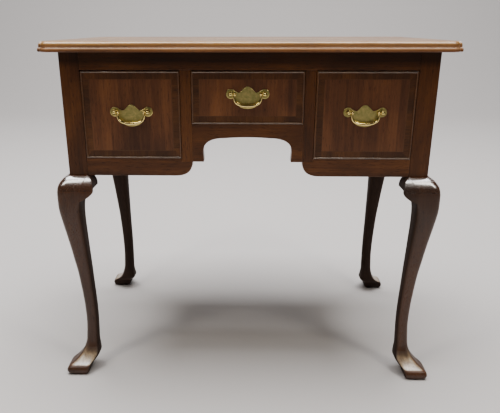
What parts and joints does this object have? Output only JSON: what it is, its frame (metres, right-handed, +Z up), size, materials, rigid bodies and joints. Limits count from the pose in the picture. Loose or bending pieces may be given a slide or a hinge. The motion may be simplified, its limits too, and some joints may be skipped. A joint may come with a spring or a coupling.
{
  "type": "lowboy",
  "caption": "Lowboy dressing table with a shallow drawer between deeper ones, arched kneehole, cabriole legs with square-cut pad feet and brass batwing bail handles.",
  "frame": {"origin": "on the floor under the middle of the case", "axes": "+Z up, the drawers open towards -Y, +X to the right seen from the front"},
  "size_m": [0.7868, 0.5018, 0.7],
  "materials": {
    "show_wood": "dark red-brown mahogany, waxed to a soft shine and worn on the edges",
    "secondary_wood": "bare oak, dull and dusty brown",
    "brass": "polished cast brass with a thin tarnish in the hollows"
  },
  "bodies": {
    "case": {"top_board": "show_wood", "side_panel_left": "show_wood", "side_panel_right": "show_wood", "back_panel": "secondary_wood", "front_top_rail": "show_wood", "leg_front_left": "show_wood", "knee_ear_side_front_left": "show_wood", "leg_front_right": "show_wood", "knee_ear_side_front_right": "show_wood", "leg_rear_left": "show_wood", "knee_ear_side_rear_left": "show_wood", "leg_rear_right": "show_wood", "knee_ear_side_rear_right": "show_wood", "knee_ear_front_left": "show_wood", "knee_ear_front_right": "show_wood", "arch_apron": "show_wood", "divider_left": "show_wood", "lower_rail_left": "show_wood", "runner_outer_left": "secondary_wood", "runner_inner_left": "secondary_wood", "runner_centre_left": "secondary_wood", "divider_right": "show_wood", "lower_rail_right": "show_wood", "runner_outer_right": "secondary_wood", "runner_inner_right": "secondary_wood", "runner_centre_right": "secondary_wood"},
    "drawer_left": {"drawer_left_front": "show_wood", "drawer_left_side_left": "secondary_wood", "drawer_left_side_right": "secondary_wood", "drawer_left_back": "secondary_wood", "drawer_left_bottom": "secondary_wood", "handle_left_plate": "brass", "handle_left_post_left": "brass", "handle_left_nut_left": "brass", "handle_left_post_right": "brass", "handle_left_nut_right": "brass"},
    "drawer_centre": {"drawer_centre_front": "show_wood", "drawer_centre_side_left": "secondary_wood", "drawer_centre_side_right": "secondary_wood", "drawer_centre_back": "secondary_wood", "drawer_centre_bottom": "secondary_wood", "handle_centre_plate": "brass", "handle_centre_post_left": "brass", "handle_centre_nut_left": "brass", "handle_centre_post_right": "brass", "handle_centre_nut_right": "brass"},
    "drawer_right": {"drawer_right_front": "show_wood", "drawer_right_side_left": "secondary_wood", "drawer_right_side_right": "secondary_wood", "drawer_right_back": "secondary_wood", "drawer_right_bottom": "secondary_wood", "handle_right_plate": "brass", "handle_right_post_left": "brass", "handle_right_nut_left": "brass", "handle_right_post_right": "brass", "handle_right_nut_right": "brass"},
    "bail_left": {"handle_left_bail": "brass"},
    "bail_centre": {"handle_centre_bail": "brass"},
    "bail_right": {"handle_right_bail": "brass"}
  },
  "joints": [
    {"name": "drawer_left_slide", "type": "slide", "parent": "case", "child": "drawer_left", "axis": [0, -1, 0], "range_m": [0, 0.3]},
    {"name": "drawer_centre_slide", "type": "slide", "parent": "case", "child": "drawer_centre", "axis": [0, -1, 0], "range_m": [0, 0.3]},
    {"name": "drawer_right_slide", "type": "slide", "parent": "case", "child": "drawer_right", "axis": [0, -1, 0], "range_m": [0, 0.3]},
    {"name": "bail_left_swing", "type": "hinge", "parent": "drawer_left", "child": "bail_left", "pos_m": [-0.2232, -0.222, 0.5703], "axis": [-1, 0, 0], "range_deg": [-10, 100]},
    {"name": "bail_centre_swing", "type": "hinge", "parent": "drawer_centre", "child": "bail_centre", "pos_m": [0, -0.222, 0.60415], "axis": [-1, 0, 0], "range_deg": [-10, 100]},
    {"name": "bail_right_swing", "type": "hinge", "parent": "drawer_right", "child": "bail_right", "pos_m": [0.2232, -0.222, 0.5703], "axis": [-1, 0, 0], "range_deg": [-10, 100]}
  ]
}
